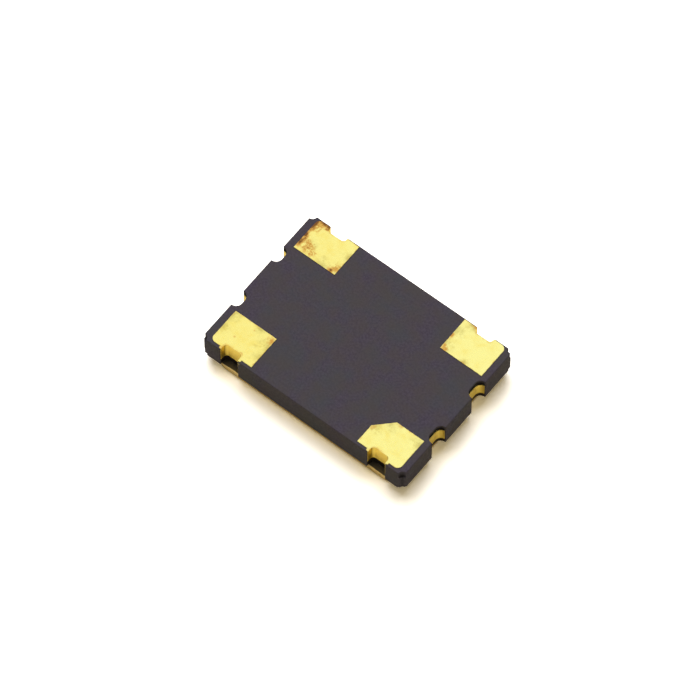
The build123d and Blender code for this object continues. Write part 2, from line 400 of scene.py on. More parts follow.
def pad_slot(number, size, low, high, inset=0.0):
    """Slot of a pad's castellation."""
    side_y = PAD_SIDES[number - 1][1]
    pad_low, pad_high = node_box(f"solder_pad_{number}")
    x = (pad_low.x + pad_high.x) / 2
    y = side_y * BODY_HIGH.y + pattern_shift()
    half_x, half_y = size["pad_notch_width"] / 2 - inset, size["pad_notch_depth"] - inset
    return slot_tool(x, y, half_x, half_y, size["pad_notch_radius"] - inset, low, high)


def end_slot(number, size, low, high, inset=0.0):
    """Slot of a castellation in a short end."""
    side_x = PAD_SIDES[number - 1][0]
    contact_low, contact_high = node_box(f"side_contact_{number}")
    spread = size["end_notch_spread"] / 2 if side_x > 0 else 0.0
    x = side_x * BODY_HIGH.x
    y = (contact_low.y + contact_high.y) / 2 + spread
    half_x, half_y = size["end_notch_depth"] - inset, size["end_notch_width"] / 2 + spread - inset
    return slot_tool(x, y, half_x, half_y, size["end_notch_radius"] - inset, low, high)


# Ceramic body


def weigh_rims(piece, low, high, notch_share):
    """Mark the long rims for a full rounding and the other corners for a share of it."""
    bm = bmesh.new()
    bm.from_mesh(piece.data)
    weight = bm.edges.layers.float.new("bevel_weight_edge")
    for edge in sharp(bm.edges):
        ends = [v.co for v in edge.verts]
        level = abs(ends[0].z - ends[1].z) < SAME_LEVEL
        rim = all(min(abs(p.z - low.z), abs(p.z - high.z)) < SAME_LEVEL for p in ends)
        wall = any(
            all(abs(abs(p[axis]) - high[axis]) < SAME_LEVEL for p in ends) for axis in (0, 1)
        )
        edge[weight] = 1.0 if level and rim and wall else notch_share
    bm.to_mesh(piece.data)
    bm.free()


def castellated_body(size):
    """Body with its castellations, hollow corners, rounded rims and stepped cavity."""
    low, high = BODY_LOW, BODY_HIGH
    shelf = node_box("crystal_pad_1")[1].z
    bond = node_box("bond_finger_1")[1].z
    pocket = node_box("die_paddle")[1].z
    below, above = low.z - REACH, high.z + REACH
    piece = rough_piece(slab(low, high))
    tools = [pad_slot(number, size, below, above) for number in PAD_NUMBERS]
    tools += [end_slot(number, size, below, above) for number in PAD_NUMBERS]
    for side_x, side_y in PAD_SIDES:
        x, y = side_x * high.x, side_y * high.y
        tools.append(post(x, y, size["middle_corner"], below, above))
        tools.append(post(x, y, size["pad_side_corner"], pocket, above))
        tools.append(post(x, y, size["seal_side_corner"], below, shelf))
    carve(piece, tools)
    weigh_rims(piece, low, high, size["notch_edge_radius"] / size["rim_radius"])
    rims = piece.modifiers.new("Rims", "BEVEL")
    rims.limit_method = "WEIGHT"
    rims.width = size["rim_radius"]
    rims.segments = RIM_STEPS
    rims.profile = 0.5
    rims.use_clamp_overlap = False
    settle(piece)
    carve(piece, cavity_tools(below, shelf, bond))
    return as_bmesh(piece)


CAVITY = {"length": 5.8, "width": 3.8, "corner": 0.3}
POCKET = {"length": 2.9, "width": 2.2, "corner": 0.15}


def cavity_tools(below, shelf, bond):
    """Steps of the cavity: over the crystal's shelf, down to the bond fingers, down to the chip."""
    paddle_low, paddle_high = node_box("die_paddle")
    chip_x = (paddle_low.x + paddle_high.x) / 2
    half_length, half_width = CAVITY["length"] / 2, CAVITY["width"] / 2
    pocket_length, pocket_width = POCKET["length"] / 2, POCKET["width"] / 2
    left, right = chip_x - pocket_length, chip_x + pocket_length
    steps = (
        (-half_length, half_length, half_width, shelf, CAVITY["corner"]),
        (2 * chip_x - half_length, half_length, half_width, bond, CAVITY["corner"]),
        (left, right, pocket_width, paddle_high.z, POCKET["corner"]),
    )
    return [
        rounded_slab((start, -half, below), (end, half, top), corner)
        for start, end, half, top, corner in steps
    ]


# Pads and linings


def corner_edges(bm, x, y):
    """Upright edges, from the nearest to a point to the farthest."""
    return sorted(uprights(bm), key=lambda e: (e.verts[0].co.to_2d() - Vector((x, y))).length)


def past_wall(number, axis, setback, low, high):
    """Block outside a wall, from a little behind it."""
    side = PAD_SIDES[number - 1][axis]
    near, far = BODY_HIGH[axis] - setback, BODY_HIGH[axis] + REACH
    corner_low = [-BODY_HIGH.x - REACH, -BODY_HIGH.y - REACH, low]
    corner_high = [BODY_HIGH.x + REACH, BODY_HIGH.y + REACH, high]
    corner_low[axis] = min(side * near, side * far)
    corner_high[axis] = max(side * near, side * far)
    return slab(corner_low, corner_high)


def mouth_lip(number, notch, film):
    """Gold that has crept to the rim on both sides of a pad's castellation."""
    side_y = PAD_SIDES[number - 1][1]
    low, high = node_box(f"solder_pad_{number}")
    middle = (low.x + high.x) / 2
    half = notch["pad_notch_width"] / 2 + film["lip_width"]
    near = side_y * (BODY_HIGH.y - notch["pad_notch_depth"])
    far = side_y * (BODY_HIGH.y - notch["rim_radius"])
    lip = slab(
        (middle - half, min(near, far), BODY_HIGH.z),
        (middle + half, max(near, far), high.z - film["edge_radius"]),
    )
    bevel(lip, uprights(lip), film["lip_width"] / 2, RIM_STEPS)
    return lip


def printed_pad(number, notch, film):
    """Printed pad with a ragged edge, joined to the lining of its castellation."""
    side_x, side_y = PAD_SIDES[number - 1]
    low, high = node_box(f"solder_pad_{number}")
    plating = high.z - BODY_HIGH.z
    corner = (side_x * BODY_HIGH.x, side_y * BODY_HIGH.y)
    inner_y = low.y if side_y > 0 else high.y
    outer_y = inner_y + side_y * film["pad_width"]
    plate = slab(
        (low.x, min(inner_y, outer_y), BODY_HIGH.z), (high.x, max(inner_y, outer_y), high.z)
    )
    bevel(plate, corner_edges(plate, *corner)[:1], film["corner_radius"], ARC_STEPS)
    if number == 1:
        bevel(plate, corner_edges(plate, *corner)[-1:], film["index_cut"], 1)
    grid(plate, CELL)
    wander(plate, film["ragged_depth"], RAGGED_PITCH)
    lining = rough_piece(pad_slot(number, notch, low.z, high.z - plating / 2))
    carve(lining, [past_wall(number, 1, film["lining_setback"], low.z - REACH, high.z + REACH)])
    carve(lining, [plate, mouth_lip(number, notch, film)], "UNION")
    carve(lining, [pad_slot(number, notch, low.z - REACH, high.z + REACH, plating)])
    bm = as_bmesh(lining)
    bevel(bm, sharp(level_edges(bm, high.z)), film["edge_radius"], FILM_STEPS)
    return bm


def lined_contact(number, notch, film):
    """Lining of a castellation in a short end."""
    low, high = node_box(f"side_contact_{number}")
    plating = node_box("solder_pad_1")[1].z - BODY_HIGH.z
    lining = rough_piece(end_slot(number, notch, low.z, high.z))
    carve(lining, [past_wall(number, 0, film["lining_setback"], low.z - REACH, high.z + REACH)])
    carve(lining, [end_slot(number, notch, low.z - REACH, high.z + REACH, plating)])
    return as_bmesh(lining)


# Ring, braze and lid

TRACK_RINGS = 6
TRACK_LEVEL, TRACK_RIPPLE = 0.6, 0.4


def frame_band(low, high, corner, width):
    """Rounded rectangular band."""
    piece = rough_piece(rounded_slab(low, high, corner))
    inside = Vector((width, width, 0))
    reach = Vector((0, 0, REACH))
    carve(piece, [rounded_slab(low + inside - reach, high - inside + reach, corner - width)])
    return as_bmesh(piece)


def near_wall(edge, high, reach):
    """Whether an edge lies within reach of a wall round the middle."""
    return any(abs(abs(v.co[axis]) - high[axis]) < reach for v in edge.verts for axis in (0, 1))


def sealing_ring(size):
    """Metal frame under the ceramic, with its lower rim rounded."""
    low, high = node_box("seal_ring")
    bm = frame_band(low, high, size["ring_corner"], size["ring_width"])
    edges = sharp(level_edges(bm, low.z))
    outer = [e for e in edges if near_wall(e, high, size["ring_corner"])]
    bevel(bm, outer, size["ring_rim"], RIM_STEPS)
    return bm


def welded_lid(size):
    """Sheet lid with the rippled track of a seam weld along its rim."""
    low, high = node_box("lid")
    spread = Vector((size["spread"], size["spread"], 0))
    bm = rounded_slab(low - spread, high + spread, size["corner_radius"], ARC_STEPS)
    divide(bm, level_edges(bm, low.z) + level_edges(bm, high.z), size["ripple_pitch"] / 4)
    bevel(bm, sharp(level_edges(bm, low.z)), size["rim_radius"], RIM_STEPS)
    bm.normal_update()
    face = max((f for f in bm.faces if f.normal.z < -0.9), key=lambda f: f.calc_area())
    for ring in range(1, TRACK_RINGS + 1):
        share = math.sin(math.pi * ring / TRACK_RINGS)
        bmesh.ops.inset_region(bm, faces=[face], thickness=size["track_width"] / TRACK_RINGS)
        for vert in face.verts:
            spot = math.cos(2 * math.pi * (vert.co.x + vert.co.y) / size["ripple_pitch"])
            vert.co.z = low.z + share * size["track_depth"] * (TRACK_LEVEL + TRACK_RIPPLE * spot)
    return bm


# Inside

# How far the chip's circuit stands proud of its scribe lane
CIRCUIT_STEP = 0.004

# Adhesive: length of the largest round dot, and corner radius as a share of the length
LARGEST_DOT = 1.0
DOT_ROUNDING, BED_ROUNDING = 0.49, 0.04


def film_plate(node, film):
    """Printed film with a ragged edge."""
    low, high = node_box(node)
    bm = slab(low, high)
    bevel(bm, uprights(bm), film["edge_radius"] * 4, RIM_STEPS)
    grid(bm, CELL)
    wander(bm, film["ragged_depth"], RAGGED_PITCH)
    bevel(bm, sharp(level_edges(bm, low.z)), film["edge_radius"], FILM_STEPS)
    return bm


def merge(bm, other):
    """Add another bmesh's shape to this one."""
    mesh = new_mesh("part", other)
    bm.from_mesh(mesh)
    bpy.data.meshes.remove(mesh)


def wire_reach(number):
    """Middle of a bond wire along X, its side of the chip, and its near and far end along Y."""
    low, high = node_box(f"bond_wire_{number}")
    near, far = sorted((abs(low.y), abs(high.y)))
    return (low.x + high.x) / 2, 1 if low.y > 0 else -1, near, far


def chip_die(size):
    """Sawn chip with its circuit a step proud of the scribe lane, and metal bond pads."""
    low, high = node_box("oscillator_chip")
    step = CIRCUIT_STEP
    bm = slab((low.x, low.y, low.z + step), high)
    bevel(bm, uprights(bm), step, FILM_STEPS)
    lane = Vector((size["scribe"], size["scribe"], 0))
    circuit = slab(low + lane, Vector((high.x, high.y, low.z + 2 * step)) - lane)
    bevel(circuit, sharp(circuit.edges), step / 2, FILM_STEPS)
    merge(bm, circuit)
    first_pad_face = len(bm.faces)
    half = size["bond_pad"] / 2
    for number in WIRE_NUMBERS:
        x, side, near, _ = wire_reach(number)
        centre = Vector((x, side * (near + size["ball_diameter"] / 2), low.z))
        below, above = Vector((half, half, step / 4)), Vector((half, half, step))
        merge(bm, slab(centre - below, centre + above))
    bm.faces.ensure_lookup_table()
    for face in bm.faces[first_pad_face:]:
        face.material_index = 1
    return bm


def ellipsoid(centre, half):
    """Ball stretched to these half sizes."""
    bm = bmesh.new()
    bmesh.ops.create_uvsphere(bm, u_segments=20, v_segments=12, radius=1.0)
    bmesh.ops.scale(bm, vec=half, verts=bm.verts)
    bmesh.ops.translate(bm, vec=centre, verts=bm.verts)
    return bm


def wire_loop(number, size):
    """Bond wire: a squashed ball, a loop on one smooth curve, and a stitch."""
    low, high = node_box(f"bond_wire_{number}")
    finger = node_box(f"bond_finger_{number}")[0].z
    x, side, near, far = wire_reach(number)
    radius, ball = size["wire_diameter"] / 2, size["ball_diameter"] / 2
    ball_y, stitch_y = near + ball, far - size["stitch_length"] / 2
    loop_z = low.z + radius
    run = stitch_y - ball_y
    bend = 6 * radius
    route = (
        (ball_y, high.z - radius),
        (ball_y, loop_z + bend),
        (ball_y, loop_z),
        (ball_y + bend, loop_z),
        (ball_y + run / 2, loop_z + radius),
        (ball_y + run * 3 / 4, loop_z + 2 * radius),
        (stitch_y, finger - radius),
    )
    line = bpy.data.curves.new("loop", "CURVE")
    line.dimensions = "3D"
    line.bevel_depth = radius
    line.bevel_resolution = 3
    line.use_fill_caps = True
    spline = line.splines.new("NURBS")
    spline.points.add(len(route) - 1)
    for point, (y, z) in zip(spline.points, route):
        point.co = (x, side * y, z, 1)
    spline.order_u = 3
    spline.use_endpoint_u = True
    spline.resolution_u = 8
    path = new_object("loop", line)
    bm = bmesh.new()
    bm.from_mesh(worked_out(path))
    bpy.data.objects.remove(path)
    bmesh.ops.remove_doubles(bm, verts=bm.verts, dist=SAME_LEVEL / 100)
    stitch_half = (radius * 5 / 3, size["stitch_length"] / 2, radius)
    ends = [
        ellipsoid((x, side * ball_y, high.z - radius), (ball, ball, radius)),
        ellipsoid((x, side * stitch_y, finger - radius), stitch_half),
    ]
    return as_bmesh(carve(rough_piece(bm), ends, "UNION"))


def adhesive_blob(node):
    """Dot or bed of adhesive, squeezed out unevenly at its edge."""
    low, high = node_box(node)
    size = high - low
    bm = slab(low, high)
    round_share = DOT_ROUNDING if size.x < LARGEST_DOT else BED_ROUNDING
    bevel(bm, uprights(bm), size.x * round_share, ARC_STEPS)
    grid(bm, CELL)
    wander(bm, size.z / 2, RAGGED_PITCH)
    bevel(bm, sharp(level_edges(bm, low.z)), size.z / 3)
    return bm


def lapped_blank():
    """Quartz strip with its edges lapped off."""
    low, high = node_box("quartz_blank")
    bm = slab(low, high)
    thick = high.z - low.z
    bevel(bm, uprights(bm), thick / 2, RIM_STEPS)
    bevel(bm, sharp(level_edges(bm, low.z) + level_edges(bm, high.z)), thick / 5)
    return bm


# Material helpers


def add(tree, kind, inputs=None, **settings):
    """New node, with constants set on its sockets and sockets linked to them."""
    node = tree.nodes.new(kind)
    for name, value in settings.items():
        setattr(node, name, value)
    for name, value in (inputs or {}).items():
        if isinstance(value, bpy.types.NodeSocket):
            tree.links.new(value, node.inputs[name])
        else:
            node.inputs[name].default_value = value
    return node


def maths(operation, *values):
    """Result of a sum on values and sockets, worked out in the sockets' tree."""
    tree = next(v for v in values if isinstance(v, bpy.types.NodeSocket)).id_data
    return add(tree, "ShaderNodeMath", dict(enumerate(values)), operation=operation).outputs[0]


def times(first, second, plus=0.0):
    """Product of two values, plus a third."""
    return maths("MULTIPLY_ADD", first, second, plus)


def minus(first, second):
    """Difference of two values."""
    return maths("SUBTRACT", first, second)


def most(first, *others):
    """Largest of some values."""
    for value in others:
        first = maths("MAXIMUM", first, value)
    return first


def within(reach, value):
    """How far a value lies inside a reach to both sides of nought."""
    return minus(reach, maths("ABSOLUTE", value))


def vectors(operation, first, second):
    """Outputs of a sum on two vectors."""
    inputs = {0: first, 1: second}
    return add(first.id_data, "ShaderNodeVectorMath", inputs, operation=operation).outputs


def axes(vector):
    """Parts of a vector along X, Y and Z."""
    return add(vector.id_data, "ShaderNodeSeparateXYZ", {0: vector}).outputs


def blend(share, first, second):
    """Colour between two colours."""
    first, second = (
        tone if isinstance(tone, bpy.types.NodeSocket) else (*tone, 1.0) for tone in (first, second)
    )
    inputs = {0: share, 6: first, 7: second}
    return add(share.id_data, "ShaderNodeMix", inputs, data_type="RGBA").outputs[2]


def shade(tone, share):
    """Darker or lighter copy of a colour."""
    return tuple(channel * share for channel in tone)


def ramp(value, low, high, to_low=0.0, to_high=1.0):
    """Value eased from one range to another."""
    inputs = {"Value": value, "From Min": low, "From Max": high}
    inputs.update({"To Min": to_low, "To Max": to_high})
    node = add(value.id_data, "ShaderNodeMapRange", inputs, interpolation_type="SMOOTHSTEP")
    return node.outputs["Result"]


def speck(place, per_mm, detail, roughness):
    """Outputs of a noise with this many features to the millimetre."""
    inputs = {"Vector": place, "Scale": per_mm, "Detail": detail, "Roughness": roughness}
    return add(place.id_data, "ShaderNodeTexNoise", inputs).outputs


def new_group(name, inputs, outputs):
    """Empty shader node group with these sockets, and its two ends."""
    tree = bpy.data.node_groups.new(name, "ShaderNodeTree")
    for in_out, sockets in (("INPUT", inputs), ("OUTPUT", outputs)):
        for socket, kind in sockets.items():
            tree.interface.new_socket(name=socket, in_out=in_out, socket_type=f"NodeSocket{kind}")
    return tree, tree.nodes.new("NodeGroupInput").outputs, tree.nodes.new("NodeGroupOutput").inputs


def grain_group():
    """Fine grain and broad clouds, for every fired, plated and printed surface."""
    name = "Grain and clouds"
    if name in bpy.data.node_groups:
        return bpy.data.node_groups[name]
    inputs = {"Place": "Vector", "Grains": "Float", "Clouds": "Float"}
    tree, given, out = new_group(name, inputs, {"Grain": "Float", "Cloud": "Float"})
    fine = speck(given["Place"], given["Grains"], 3.0, 0.6)
    broad = speck(given["Place"], given["Clouds"], 4.0, 0.55)
    tree.links.new(ramp(fine[0], 0.3, 0.7), out["Grain"])
    tree.links.new(ramp(broad[0], 0.32, 0.68), out["Cloud"])
    return tree


def blot_group():
    """Ragged spot round a centre."""
    name = "Ragged blot"
    if name in bpy.data.node_groups:
        return bpy.data.node_groups[name]
    inputs = {"Place": "Vector", "Centre": "Vector", "Radius": "Float"}
    tree, given, out = new_group(name, inputs, {"Mask": "Float"})
    stir = speck(given["Place"], 6.0, 3.0, 0.6)["Color"]
    stir = vectors("SUBTRACT", stir, (0.5, 0.5, 0.5))[0]
    stir = vectors("MULTIPLY", stir, times(given["Radius"], 1.6))[0]
    moved = vectors("ADD", given["Place"], stir)[0]
    gap = vectors("DISTANCE", moved, given["Centre"])["Value"]
    share = maths("DIVIDE", gap, given["Radius"])
    tree.links.new(ramp(share, 1.15, 0.1), out["Mask"])
    return tree


def grains(place, per_mm, clouds):
    """Grain and clouds, each with this many features to the millimetre."""
    inputs = {"Place": place, "Grains": per_mm, "Clouds": clouds}
    return add(place.id_data, "ShaderNodeGroup", inputs, node_tree=grain_group()).outputs


def blot(place, centre, radius):
    """Where a ragged spot lies."""
    inputs = {"Place": place, "Centre": centre, "Radius": radius}
    node = add(place.id_data, "ShaderNodeGroup", inputs, node_tree=blot_group())
    return node.outputs["Mask"]


def new_material(name):
    """Material with a Principled shader, and the place on its surface in millimetres."""
    material = bpy.data.materials.new(name)
    material.use_nodes = True
    tree = material.node_tree
    tree.nodes.clear()
    shader = tree.nodes.new("ShaderNodeBsdfPrincipled")
    end = tree.nodes.new("ShaderNodeOutputMaterial")
    tree.links.new(shader.outputs[0], end.inputs["Surface"])
    coordinates = add(tree, "ShaderNodeTexCoord").outputs["Object"]
    place = vectors("MULTIPLY", coordinates, [1 / MM] * 3)[0]
    return material, shader, place


def coat(shader, tone, roughness, metallic=0.0):
    """Give a shader its colour, roughness and metal."""
    shader.id_data.links.new(tone, shader.inputs["Base Color"])
    shader.id_data.links.new(roughness, shader.inputs["Roughness"])
    shader.inputs["Metallic"].default_value = metallic


def bump(shader, height, strength, depth):
    """Roughen a surface by a height."""
    inputs = {"Strength": strength, "Distance": depth * MM, "Height": height}
    node = add(shader.id_data, "ShaderNodeBump", inputs)
    shader.id_data.links.new(node.outputs["Normal"], shader.inputs["Normal"])


def mixed(share, first, second):
    """Shader between two shaders."""
    inputs = {0: share, 1: first, 2: second}
    return add(share.id_data, "ShaderNodeMixShader", inputs).outputs[0]


def below(place, level):
    """How far a place lies below a level."""
    return minus(level, axes(place)[2])


def from_walls(place, reach):
    """How far a place lies inside a rectangle round the middle, along X and along Y."""
    split = axes(place)
    return [within(reach[axis], split[axis]) for axis in (0, 1)]


# Materials

# Small pale spots on the edges of castellations: place and radius
PALE_EDGE_SPOTS = (((-2.235, -2.475, 1.06), 0.07), ((3.515, 0.62, 0.945), 0.06))


def recess_shade_mask(place):
    """Where shade is painted: ceramic back from its walls and below its face, in slots, corners and
    cavity.
    """
    back = from_walls(place, BODY_HIGH)
    behind = ramp(maths("MINIMUM", *back), 0.01, 0.08)
    corner = ramp(most(*back), 0.2, 0.3, 0.45, 1.0)
    deep = ramp(below(place, BODY_HIGH.z), 0.02, 0.12)
    return times(times(behind, corner), deep)


def black_alumina():
    """Matt black ceramic with a fine grain and faint casts of colour, and painted shade in its
    recesses.
    """
    settings = bpy.context.scene.osc_ceramic
    material, shader, place = new_material("black alumina")
    grain = grains(place, 15.0, 1.2)
    cast = grains(place, 6.0, 1.9)
    recess = recess_shade_mask(place)
    tone = blend(grain["Grain"], settings.dark, settings.light)
    tone = blend(times(grain["Cloud"], 0.55), tone, settings.greenish)
    tone = blend(times(cast["Cloud"], 0.55), tone, settings.brownish)
    # Painted shade, near black, in the castellations, hollow corners and cavity
    tone = blend(times(recess, 0.95), tone, settings.recess)
    # Pale spots on the edges of two castellations
    for centre, radius in PALE_EDGE_SPOTS:
        tone = blend(blot(place, centre, radius), tone, settings.chipped)
    rough = ramp(grain["Grain"], 0.0, 1.0, 0.70, 0.56)
    coat(shader, tone, times(recess, 0.3, rough))
    shader.inputs["Specular IOR Level"].default_value = 0.05
    bump(shader, grain["Grain"], 0.3, 0.005)
    return material


# Marks on each pad: outwards from the pad's middle along X and along Y, and radius
BROWN_MARKS = {
    1: ((-0.09, -0.57, 0.16), (-0.62, -0.04, 0.14)),
    2: ((-0.60, -0.42, 0.20),),
    3: (
        (0.70, 0.36, 0.32), (0.50, 0.56, 0.30), (0.30, 0.54, 0.18), (0.70, -0.02, 0.18),
        (0.60, -0.27, 0.26), (0.37, -0.32, 0.22), (0.17, -0.40, 0.14), (-0.57, -0.40, 0.22),
    ),
    4: ((-0.63, -0.45, 0.17), (-0.72, -0.06, 0.13), (-0.33, 0.57, 0.16)),
}
DOTS = {2: ((0.24, 0.10, 0.05), (-0.07, -0.39, 0.045))}
DULL_MARKS = {
    1: ((-0.22, -0.34, 0.24), (-0.52, -0.08, 0.22), (0.60, -0.38, 0.22)),
    2: (
        (0.62, 0.02, 0.22), (0.62, -0.40, 0.24), (-0.56, -0.20, 0.30), (-0.62, 0.20, 0.22),
        (-0.20, -0.50, 0.22),
    ),
    3: ((-0.56, -0.40, 0.26), (-0.20, -0.48, 0.26), (0.40, -0.22, 0.28), (-0.66, 0.10, 0.20)),
    4: ((-0.60, -0.34, 0.28), (-0.62, 0.15, 0.26), (-0.40, 0.48, 0.22), (0.06, -0.52, 0.18)),
}

# How strong the marks are on each pad, from the first to the fourth
BROWN_STRENGTH = (0.3, 0.6, 1.0, 0.55)
DOT_STRENGTH = (0.3,) * len(PAD_SIDES)
DULL_STRENGTH = (1.0,) * len(PAD_SIDES)

# Height of the foot of a short end's contact that is painted near black: the gold stops there, and
# the bare ceramic is painted in shade
SHADED_CONTACT_FOOT = 0.11


def pad_middle():
    """Point that the four pads are mirrored about."""
    inner_x = node_box("solder_pad_3")[1].x + node_box("solder_pad_4")[0].x
    return Vector((inner_x / 2, pattern_shift()))


def pad_place():
    """Middle of a pad, from the point that the pads are mirrored about, and half the pad's size."""
    low, high = node_box("solder_pad_4")
    half = Vector((high.x - low.x, bpy.context.scene.osc_gold.pad_width / MM)) / 2
    return low.to_2d() + half - pad_middle(), half


def marks_mask(place, marks, strength):
    """Where any of these marks lies, at the strength of its pad."""
    total = 0.0
    pad, _ = pad_place()
    level = node_box("solder_pad_1")[1].z
    for number, spots in marks.items():
        side_x, side_y = PAD_SIDES[number - 1]
        for out_x, out_y, radius in spots:
            spot = pad_middle() + Vector((side_x * (pad.x + out_x), side_y * (pad.y + out_y)))
            mask = blot(place, (*spot, level), radius)
            total = most(times(mask, strength[number - 1]), total)
    return total


def pad_inside(place):
    """How far a place lies inside the outline of its pad. All four are worked out as one."""
    notch, film = sizes(bpy.context.scene.osc_ceramic), sizes(bpy.context.scene.osc_gold)
    middle = pad_middle()
    pad, half = pad_place()
    split = axes(place)
    out = []
    for axis in (0, 1):
        far = maths("ABSOLUTE", minus(split[axis], middle[axis]))
        out.append(minus(far, pad[axis]))
    plate = maths("MINIMUM", *(within(half[axis], out[axis]) for axis in (0, 1)))
    radius = notch["pad_notch_radius"]
    wall = BODY_HIGH.y - pad.y
    along = maths("ABSOLUTE", out[0])
    along = most(minus(along, notch["pad_notch_width"] / 2 - radius), 0.0)
    deep = maths("ABSOLUTE", minus(out[1], wall))
    deep = most(minus(deep, notch["pad_notch_depth"] - radius), 0.0)
    gap = maths("SQRT", times(along, along, times(deep, deep)))
    plate = maths("MINIMUM", plate, minus(gap, radius))
    cut = maths("ADD", out[0], out[1])
    cut = maths("ADD", cut, half.x + half.y - film["index_cut"])
    left = maths("LESS_THAN", split[0], middle.x)
    uncut = most(left, maths("GREATER_THAN", split[1], middle.y))
    return maths("MINIMUM", plate, times(cut, math.sqrt(0.5), uncut))


def pad_gold():
    """Thin gold on printed metal: pale, satin and mottled, with dull edges and brown tarnish,
    deeper gold in the castellations partly as painted shade, and painted shade at the contacts'
    feet.
    """
    settings = bpy.context.scene.osc_gold
    material, shader, place = new_material("pad gold")
    grain = grains(place, 16.0, 2.6)
    mottle = grains(place, 7.0, 5.0)
    split = axes(place)
    drift = ramp(times(split[1], 0.6, split[0]), -4.0, 4.0, 0.42, 0.0)
    clouds = times(grain["Cloud"], mottle["Cloud"])
    tone = blend(times(clouds, 0.6, drift), settings.pale, settings.deep)
    edge = times(mottle["Grain"], 0.06, pad_inside(place))
    streaks = ramp(speck(place, 10.0, 4.0, 0.7)[0], 0.36, 0.66)
    band = most(ramp(edge, 0.20, 0.05), times(streaks, 0.75))
    dull = times(marks_mask(place, DULL_MARKS, DULL_STRENGTH), band)
    rim = most(ramp(edge, 0.20, 0.06), times(streaks, 0.7))
    brown = times(marks_mask(place, BROWN_MARKS, BROWN_STRENGTH), rim)
    line = times(ramp(edge, 0.08, 0.03), grain["Cloud"])
    dots = marks_mask(place, DOTS, DOT_STRENGTH)
    brown = most(brown, dots, times(line, 0.3))
    lining_shade = ramp(below(place, node_box("solder_pad_1")[1].z), 0.015, 0.06)
    foot = below(place, node_box("side_contact_1")[0].z + SHADED_CONTACT_FOOT)
    tone = blend(times(dull, 0.6), tone, settings.dull)
    tone = blend(ramp(brown, 0.0, 0.5), tone, settings.stained)
    tone = blend(ramp(brown, 0.4, 0.95), tone, settings.tarnish)
    # Deeper gold in the castellations: partly thinner plating, partly painted shade
    tone = blend(lining_shade, tone, settings.lining)
    # Painted shade at the foot of the end contacts, where bare ceramic lies in shade
    tone = blend(ramp(foot, -0.02, 0.02), tone, settings.foot)
    worn = most(dull, brown, times(lining_shade, 0.5))
    rough = times(grain["Grain"], 0.10, 0.24)
    coat(shader, tone, times(worn, 0.2, rough), 1.0)
    bump(shader, grain["Grain"], 0.2, 0.003)
    return material


def satin_plating(name, tone, per_mm, roughness):
    """Clean plating with a fine satin grain."""
    material, shader, place = new_material(name)
    grain = grains(place, per_mm, 2.0)
    rough = times(grain["Grain"], 0.12, roughness)
    coat(shader, blend(grain["Cloud"], shade(tone, 0.8), tone), rough, 1.0)
    bump(shader, grain["Grain"], 0.2, 0.003)
    return material


def nickel():
    """Satin nickel with rolling lines, heat-tinted along the weld."""
    settings = bpy.context.scene.osc_lid
    material, shader, place = new_material("lid nickel")
    grain = grains(place, 18.0, 1.0)
    stretched = vectors("MULTIPLY", place, (1.0, 30.0, 1.0))[0]
    lines = speck(stretched, 1.3, 3.0, 0.6)[0]
    spread, width = settings.spread / MM, settings.track_width / MM
    reach = node_box("lid")[1].to_2d() + Vector((spread, spread))
    rim = maths("MINIMUM", *from_walls(place, reach))
    rim = times(grain["Cloud"], 0.08, rim)
    heat = ramp(rim, width * 1.5, width * 0.7)
    tone = blend(lines, shade(settings.nickel, 0.85), settings.nickel)
    tone = blend(times(heat, 0.6), tone, settings.heated)
    tone = blend(ramp(rim, 0.14, 0.04), tone, settings.straw)
    coat(shader, tone, times(lines, 0.2, 0.24), 1.0)
    bump(shader, maths("ADD", lines, grain["Grain"]), 0.15, 0.003)
    return material


def braze_silver():
    """Silver braze, coloured nearly black, with the ring's gold at its outer rim."""
    settings = bpy.context.scene.osc_gold
    material, shader, place = new_material("silver braze")
    grain = grains(place, 12.0, 3.0)
    rim = maths("MINIMUM", *from_walls(place, node_box("ring_braze")[1]))
    rim = times(grain["Cloud"], 0.02, rim)
    tone = blend(ramp(rim, 0.02, 0.045), settings.frame, settings.braze)
    coat(shader, tone, ramp(grain["Grain"], 0.0, 1.0, 0.45, 0.6), 1.0)
    return material


def silicon():
    """Polished silicon with faint blocks of circuit."""
    settings = bpy.context.scene.osc_inside
    material, shader, place = new_material("silicon")
    inputs = {"Vector": place, "Scale": 6.0}
    blocks = add(place.id_data, "ShaderNodeTexVoronoi", inputs, distance="CHEBYCHEV")
    grain = grains(place, 30.0, 4.0)
    tone = blend(blocks.outputs["Distance"], settings.silicon, shade(settings.silicon, 1.9))
    tone = blend(times(grain["Grain"], 0.3), tone, settings.circuit)
    coat(shader, tone, ramp(grain["Cloud"], 0.0, 1.0, 0.14, 0.26), 0.4)
    return material


def silver_adhesive():
    """Epoxy filled with silver flakes."""
    settings = bpy.context.scene.osc_inside
    material, shader, place = new_material("silver adhesive")
    grain = grains(place, 22.0, 5.0)
    tone = blend(grain["Grain"], shade(settings.adhesive, 0.6), settings.adhesive)
    coat(shader, tone, ramp(grain["Grain"], 0.0, 1.0, 0.62, 0.38), 0.6)
    bump(shader, grain["Grain"], 0.4, 0.006)
    return material


def quartz():
    """Clear quartz with a lapped surface."""
    settings = bpy.context.scene.osc_inside
    material, shader, place = new_material("quartz")
    grain = grains(place, 26.0, 2.0)
    tone = blend(grain["Cloud"], settings.cloudy, settings.clear)
    coat(shader, tone, ramp(grain["Grain"], 0.0, 1.0, 0.12, 0.26))
    shader.inputs["Transmission Weight"].default_value = 0.9
    shader.inputs["IOR"].default_value = 1.54
    return material


# Floor's colour for light that it sends on, for the eye and in gloss
FLOOR_BOUNCE = (0.92, 0.90, 0.74)
FLOOR_SEEN = (1.40, 1.40, 1.42)
FLOOR_GLOSS = (0.64, 0.60, 0.48)


